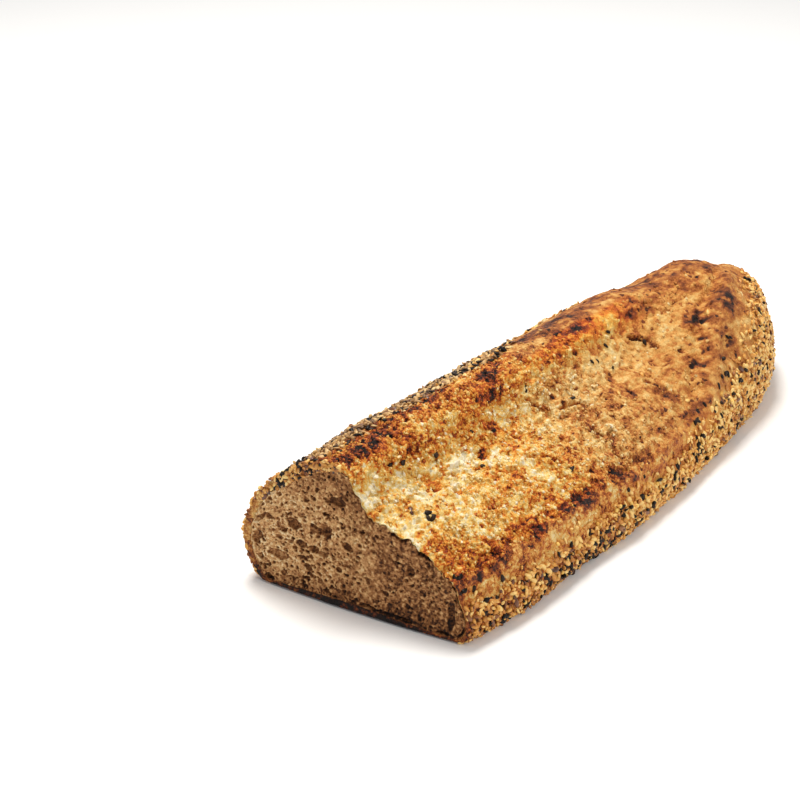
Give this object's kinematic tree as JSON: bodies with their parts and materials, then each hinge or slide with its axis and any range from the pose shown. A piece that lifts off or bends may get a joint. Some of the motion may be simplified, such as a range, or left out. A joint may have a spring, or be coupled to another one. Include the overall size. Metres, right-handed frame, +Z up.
{
  "type": "seeded baguette, cut",
  "caption": "Seeded bread loaf, long and round-ended, opened by one long score on top and sliced off square-on at one end, lying on its flat base.",
  "frame": {"origin": "under the middle of the loaf's box, on the surface it lies on", "axes": "+X along the loaf from the cut face to the round end, +Y to the side of the raised lip of the score, +Z up"},
  "size_m": [0.231, 0.0796, 0.0473],
  "materials": {
    "crust": "matte, blistered golden-brown bread crust, darker on the lips of the score",
    "crumb": "matte, porous grey-brown wholegrain crumb on the cut face",
    "seeds": "satin baked sesame, millet and linseed stuck to the crust"
  },
  "bodies": {
    "root": {"loaf": "crust"}
  },
  "joints": []
}
